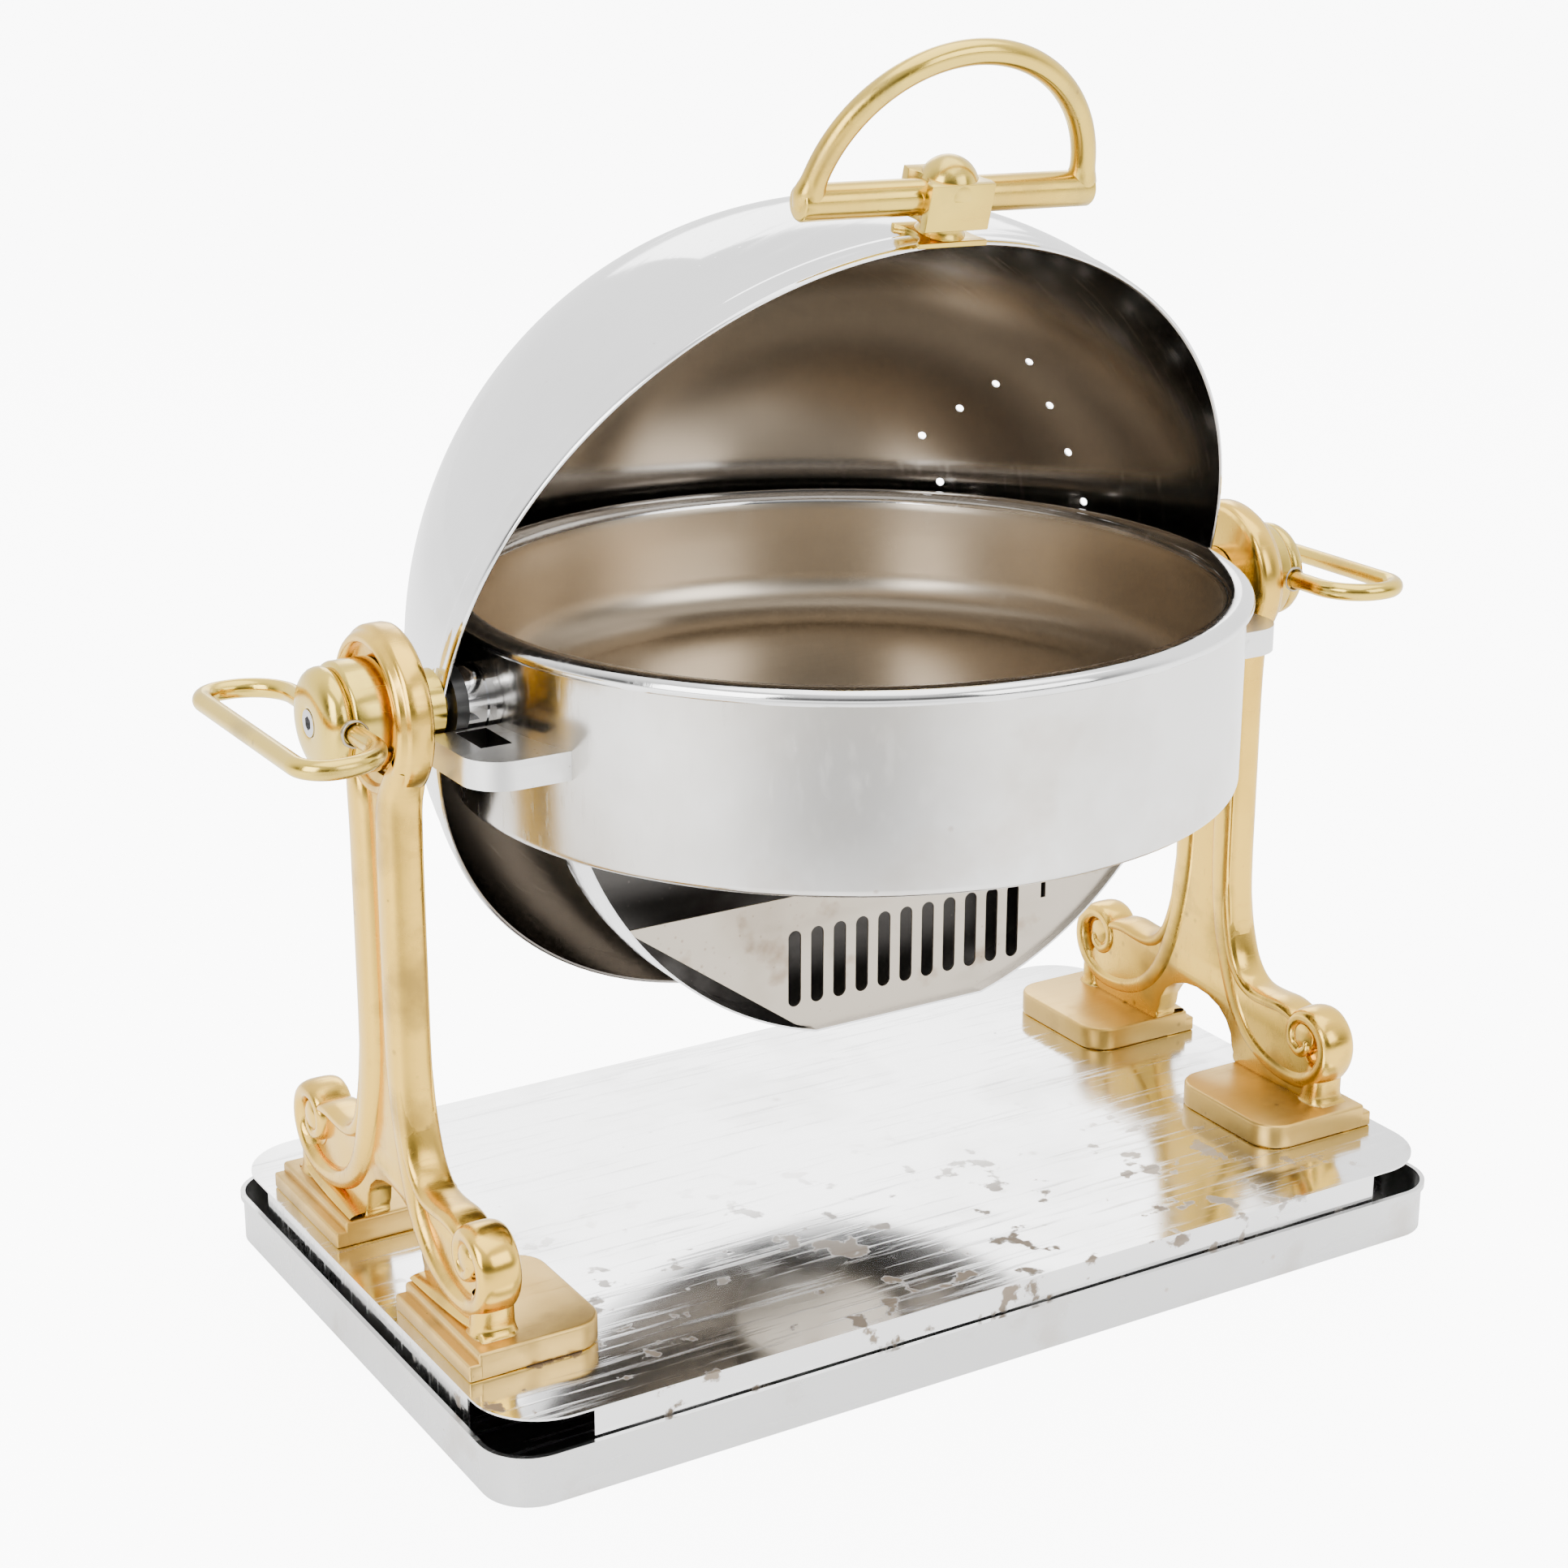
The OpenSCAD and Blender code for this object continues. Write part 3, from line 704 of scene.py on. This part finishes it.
def makeLid():
    s = lidSizes
    outer = []
    steps = 64
    for i in range(steps + 1):
        h = s["depth"] * math.sin(math.radians(90 * (1 - i / steps)))
        outer.append((domeRadius(h), h))
    outer = [point for point in outer if point[1] > s["band"] + 2.5]
    # the plain band at the rim stands a little proud, and its edge is rolled under
    step = s["bandStep"]
    for h, proud in ((15, 0), (14, 0.1), (13, 0.6), (12, step), (8, step), (5, step)):
        outer.append((domeRadius(h) + proud, h))
    for proud, h in ((1.0, 3.6), (1.2, 2.4), (1.15, 1.0), (0.6, 0.2), (-0.2, 0.0), (-1.0, 0.4)):
        outer.append((s["radius"] + proud, h))
    scale = (s["radius"] - s["sheet"]) / s["radius"]
    inner = []
    for i in range(steps + 1):
        h = s["depth"] * scale * math.sin(math.radians(90 * i / steps))
        if h > 2:
            inner.append((domeRadius(h, scale), h))
    profile = outer + [(s["radius"] - 1.0, 1.4)] + inner
    turns = 180
    lid = turned("lidShell", profile, turns,
                 lambda a, b, h: inLid(a, s["centreRho"] + b, s["rimN"] + h))
    dress(lid, lidSteel, lidInside)
    centre = inLid(0, s["centreRho"], s["rimN"])
    axis = (inLid(0, 0, 1) - inLid(0, 0, 0)).normalized()
    for face in lid.data.polygons:
        away = face.center - centre
        h = away.dot(axis)
        out = (away - axis * h).length / mm
        inward = face.normal.dot(away - axis * h + axis * 0.02) < 0
        if inward and out < domeRadius(h / mm) - 0.5 * s["sheet"]:
            face.material_index = 1
    return lid


def drillLid(lid):
    s = lidSizes
    cutters = []
    corners = s["holeCorners"]
    for k in range(4):
        for i in range(3):
            here, after = corners[k], corners[(k + 1) % 4]
            polar = here[0] + (after[0] - here[0]) * i / 3
            side = here[1] + (after[1] - here[1]) * i / 3
            clearSelection()
            bpy.ops.mesh.primitive_cylinder_add(vertices=20, radius=s["holeRadius"] * mm,
                                                depth=s["holeDepth"] * mm)
            cutter = bpy.context.object
            a, b = math.radians(s["holeMiddle"] + polar), math.radians(side)
            aim = Vector((math.cos(b) * math.sin(a), math.sin(b), math.cos(b) * math.cos(a)))
            base = Vector((0, s["centreRho"], s["rimN"]))
            tip = base + aim * 226
            start, end = inLid(*(base + aim * 200)), inLid(*tip)
            turn = Vector((0, 0, 1)).rotation_difference(end - start).to_matrix().to_4x4()
            cutter.data.transform(Matrix.Translation(inLid(*tip)) @ turn)
            cutters.append(cutter)
    for sideX in (-1, 1):
        clearSelection()
        bpy.ops.mesh.primitive_cylinder_add(vertices=48, radius=s["shaftHole"] * mm, depth=0.03)
        cutter = bpy.context.object
        sideways = Matrix.Rotation(math.pi / 2, 4, "Y")
        cutter.data.transform(Matrix.Translation(inLid(sideX * 222, 0, 0)) @ sideways)
        cutters.append(cutter)
    drills = joined("drills", cutters)
    mod = lid.modifiers.new("drilled", "BOOLEAN")
    mod.operation = "DIFFERENCE"
    mod.solver = "EXACT"
    mod.object = drills
    choose(lid)
    bpy.ops.object.modifier_apply(modifier=mod.name)
    bpy.data.objects.remove(drills, do_unlink=True)
    smoothByAngle(lid, 35)


lid = makeLid()
drillLid(lid)
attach(lid, "lid")
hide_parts("lid_dome")
print("lid made")

# lid handle: bar, arch, block, saddle and ball
gripSizes = {
    "rho": 246.5, "n": 4.05, "bar": 8.5, "half": 78.0, "rod": 5.95, "arch": 73.2, "archLift": -2.5,
    "lean": 6.0, "turn": -2.0, "flare": 1.6}


def gripPlace(x, up, back, lean=0.0):
    # places about the middle of the grip bar: up away from the dome, back toward the apex
    s = gripSizes
    turn = math.radians(s["turn"])
    tip = math.radians(lean)
    up, back = up * math.cos(tip) - back * math.sin(tip), back * math.cos(tip) + up * math.sin(tip)
    x, back = x * math.cos(turn) - back * math.sin(turn), back * math.cos(turn) + x * math.sin(turn)
    return inLid(x, s["rho"] + up, s["n"] + back)


def leaning(x, up, back):
    return gripPlace(x, up, back, gripSizes["lean"])


def makeCrossbar():
    s = gripSizes
    r, half = s["bar"], s["half"]
    profile = [
        (0, -half), (r - 1.6, -half), (r - 0.6, -half + 0.4), (r, -half + 1.4), (r, -half + 8),
        (r, -half / 2), (r, 0), (r, half / 2), (r, half - 8), (r, half - 1.4),
        (r - 0.6, half - 0.4), (r - 1.6, half), (0, half)]
    bar = turned("gripBar", profile, 48, lambda a, b, h: gripPlace(h, a, b))
    smoothByAngle(bar, 40)
    return bar


def makeArch():
    s = gripSizes
    turns = 96

    def spot(u, w):
        turn = 2 * math.pi * u
        angle = math.pi * w
        ends = [math.exp(-((part * 180 - 5) / 3.5) ** 2) for part in (w, 1 - w)]
        flare = s["flare"] * sum(ends)
        rod = s["rod"] + flare
        out = s["arch"] + rod * math.cos(turn)
        up = s["archLift"] + out * math.sin(angle)
        return gripPlace(out * math.cos(angle), up, rod * math.sin(turn))

    arch = rolledGrid("gripArch", 32, turns, spot)
    cleanMesh(arch)
    choose(arch)
    bpy.ops.object.mode_set(mode="EDIT")
    bpy.ops.mesh.select_all(action="SELECT")
    bpy.ops.mesh.fill_holes(sides=0)
    bpy.ops.mesh.select_all(action="SELECT")
    bpy.ops.mesh.normals_make_consistent(inside=False)
    bpy.ops.object.mode_set(mode="OBJECT")
    smoothByAngle(arch, 50)
    return arch


def waistOutline(half, depth, circleAt, radius):
    # plan of a block: straight front and back, each side bowed in by a round cutter
    reach = math.degrees(math.acos(min((circleAt - half) / radius, 1)))
    bow = arc(circleAt, 0, radius, 180 + reach, 180 - reach, 12)
    right = [(half, -depth / 2)] + [(x, back) for x, back in bow] + [(half, depth / 2)]
    return right + [(-x, -back) for x, back in right]


def makeBlock():
    block = outlineBlock("gripBlock", waistOutline(17, 27, 24.0, 11.0), -12.2, 10.2,
                         lambda a, back, up: leaning(a, up, back), 0.5, 2, 40)
    smoothByAngle(block, 35)
    return block


def makeSaddle():
    foot = outlineBlock("saddleFoot", waistOutline(18.5, 26, 25.5, 12.5), -19.3, -16.6,
                        lambda a, back, up: leaning(a, up, back), 0.5, 2, 40)
    neck = [(0, -19.5), (12.4, -17.4), (11.2, -16.2), (10.3, -14.4), (10.0, -12.0), (0, -12.0)]
    neck = turned("neck", neck, 40, lambda a, b, h: leaning(a, h, b))
    saddle = joined("gripSaddle", [foot, neck])
    # the foot follows the dome down at its four corners
    for vertex in saddle.data.vertices:
        x = vertex.co.x / mm
        drop = 224.4 - math.sqrt(max(224.4 ** 2 - x * x, 0))
        vertex.co += inLid(0, -drop * 1.3, 0) - inLid(0, 0, 0)
    smoothByAngle(saddle, 35)
    return saddle


def makeBall():
    r = 14.3
    profile = [(0, -2.5), (r - 0.3, -2.5), (r, -1.5)] + arc(0, 0, r, 0, 90, 22)
    profile = profile[:-1] + [(0, r)]
    ball = turned("gripBall", profile, 56, lambda a, b, h: leaning(a, 4.7 + h, b))
    smoothByAngle(ball, 50)
    return ball


for make, node in (
        (makeCrossbar, "handle_crossbar"), (makeArch, "handle_arch"), (makeBlock, "handle_block"),
        (makeSaddle, "handle_saddle"), (makeBall, "handle_ball")):
    piece = make()
    dress(piece, rodBrass)
    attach(piece, "lid")
    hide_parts(node)
print("lid handle made")

# finishes for the pieces that keep their shape
for names, finish in (
        (("base_tray",), traySteel), (("base_plate",), plateSteel),
        (("burner_strap",), chromeSteel),
        (("vent_panel", "fuel_holder"), ventSteel), (("spacer_left", "spacer_right"), chromeSteel),
        (("lug_left", "lug_right"), lugSteel), (("burner_back",), burnerBackShade),
        (("friction_washer_left", "friction_washer_right"), rubber),
        (("leg_bolts", "cap_screw_left", "cap_screw_right"), boltSteel),
        (("pivot_shaft_left", "pivot_shaft_right"), boltSteel),
        (("side_handle_left", "side_handle_right"), rodBrass),
        (("lid_bushing_left", "lid_bushing_right"), rodBrass)):
    for name in names:
        dressNode(name, finish)


# floor, light and camera
stageSizes = {
    "floor": 70.0, "tone": 0.88, "rough": 0.6, "glow": 0.9, "seenGlow": 9.0,
    "dim": (-0.62, -1.0), "dimStart": 0.1, "dimEnd": 1.0, "dimDepth": 0.85,
}


def makeStage():
    clearSelection()
    bpy.ops.mesh.primitive_plane_add(size=stageSizes["floor"], location=(0, 0, -0.0002))
    floor = bpy.context.object
    floor.name = "paleFloor"
    paint = bpy.data.materials.new("paleFloor")
    paint.use_nodes = True
    shader = paint.node_tree.nodes["Principled BSDF"]
    tone = stageSizes["tone"]
    shader.inputs["Roughness"].default_value = stageSizes["rough"]
    # a lit table, duller round one spot in front of the object
    tree = paint.node_tree
    apart = addNode(tree, "ShaderNodeVectorMath", operation="SUBTRACT")
    tree.links.new(addNode(tree, "ShaderNodeTexCoord").outputs["Object"], apart.inputs[0])
    apart.inputs[1].default_value = (*stageSizes["dim"], 0)
    span = addNode(tree, "ShaderNodeVectorMath", operation="LENGTH")
    tree.links.new(apart.outputs["Vector"], span.inputs[0])
    lit = addNode(tree, "ShaderNodeMapRange", interpolation_type="SMOOTHSTEP")
    for socket, value in (("From Min", stageSizes["dimStart"]), ("From Max", stageSizes["dimEnd"]),
                          ("To Min", 1 - stageSizes["dimDepth"]), ("To Max", 1.0)):
        lit.inputs[socket].default_value = value
    tree.links.new(span.outputs["Value"], lit.inputs["Value"])
    paler = addNode(tree, "ShaderNodeMix", data_type="RGBA")
    tree.links.new(lit.outputs["Result"], paler.inputs["Factor"])
    paler.inputs[6].default_value = (0, 0, 0, 1)
    paler.inputs[7].default_value = (tone, tone, tone, 1)
    tree.links.new(paler.outputs[2], shader.inputs["Base Color"])
    shader.inputs["Emission Color"].default_value = (tone, tone, tone, 1)
    # brighter to the eye than to the metal, so that the steel keeps its darker tones
    seen = addNode(tree, "ShaderNodeLightPath").outputs["Is Camera Ray"]
    boost = ranged(tree, seen, 0.0, 1.0, stageSizes["glow"], stageSizes["seenGlow"])
    tree.links.new(boost, shader.inputs["Emission Strength"])
    floor.data.materials.append(paint)


# place, aim, width and height in metres, and watts
lampSizes = {
    "overhead": ((0.2, -0.3, 2.4), (0, 0, 0.2), (2.4, 2.0), 40),
    "leftPanel": ((-2.2, -0.9, 1.3), (0, 0, 0.3), (1.4, 1.8), 70),
    "frontPanel": ((0.9, -2.4, 1.5), (0, 0, 0.25), (1.6, 1.4), 34),
    "rearPanel": ((1.2, 2.2, 1.6), (0, 0, 0.35), (1.6, 1.2), 22),
}


def softLight(name, place, aim, size, power):
    bpy.ops.object.light_add(type="AREA", location=place)
    lamp = bpy.context.object
    lamp.name = name
    lamp.data.shape = "RECTANGLE"
    lamp.data.size, lamp.data.size_y = size
    lamp.data.energy = power
    lamp.rotation_euler = (Vector(aim) - Vector(place)).to_track_quat("-Z", "Y").to_euler()


worldSizes = {
    "strength": 2.3, "low": -0.2, "front": (-0.52, -0.855, 0.0), "frontEdge": (0.35, -0.25),
    "bands": [(0.0, 0.3), (0.17, 0.3), (0.25, 0.10), (0.40, 0.05), (0.60, 0.35), (1.0, 0.8)],
}


def makeWorld():
    world = bpy.data.worlds.new("studio")
    bpy.context.scene.world = world
    world.use_nodes = True
    tree = world.node_tree
    back = tree.nodes["Background"]
    coords = addNode(tree, "ShaderNodeTexCoord").outputs["Generated"]
    apart = addNode(tree, "ShaderNodeSeparateXYZ")
    tree.links.new(coords, apart.inputs[0])
    ramp = addNode(tree, "ShaderNodeValToRGB")
    tree.links.new(ranged(tree, apart.outputs["Z"], worldSizes["low"], 1.0), ramp.inputs["Fac"])
    stops = worldSizes["bands"]
    while len(ramp.color_ramp.elements) < len(stops):
        ramp.color_ramp.elements.new(0.5)
    for element, (spot, tone) in zip(ramp.color_ramp.elements, stops):
        element.position = spot
        element.color = (tone, tone, tone, 1)
    # the side in front of the object is dim, the far side is white
    facing = addNode(tree, "ShaderNodeVectorMath", operation="DOT_PRODUCT")
    facing.inputs[1].default_value = worldSizes["front"]
    tree.links.new(coords, facing.inputs[0])
    away = ranged(tree, facing.outputs["Value"], *worldSizes["frontEdge"])
    tone = tinted(tree, ramp.outputs["Color"], away, (1.0, 1.0, 1.0))
    tree.links.new(tone, back.inputs["Color"])
    back.inputs["Strength"].default_value = worldSizes["strength"]


cameraSizes = {
    "azimuth": -31.25, "elevation": 18.32, "roll": 0.14, "distance": 1.49446,
    "target": (-0.0299, -0.00239, 0.25881), "sensor": 36, "lens": 67.70,
    "shift": (-0.0046, -0.0025), "clipStart": 0.05,
}


def makeCamera():
    c = cameraSizes
    azimuth, elevation = math.radians(c["azimuth"]), math.radians(c["elevation"])
    back = Vector((math.sin(azimuth) * math.cos(elevation),
                   -math.cos(azimuth) * math.cos(elevation), math.sin(elevation)))
    place = Vector(c["target"]) + back * c["distance"]
    level = (-back).cross(Vector((0, 0, 1))).normalized()
    upright = level.cross(-back)
    roll = math.radians(c["roll"])
    right = level * math.cos(roll) + upright * math.sin(roll)
    up = upright * math.cos(roll) - level * math.sin(roll)
    bpy.ops.object.camera_add()
    camera = bpy.context.object
    camera.name = "mainCamera"
    turn = Matrix((right, up, back)).transposed().to_4x4()
    camera.matrix_world = Matrix.Translation(place) @ turn
    camera.data.sensor_width = c["sensor"]
    camera.data.lens = c["lens"]
    camera.data.shift_x, camera.data.shift_y = c["shift"]
    camera.data.clip_start = c["clipStart"]
    bpy.context.scene.camera = camera


makeStage()
makeWorld()
for name, lamp in lampSizes.items():
    softLight(name, *lamp)
makeCamera()
print("stage, light and camera set")
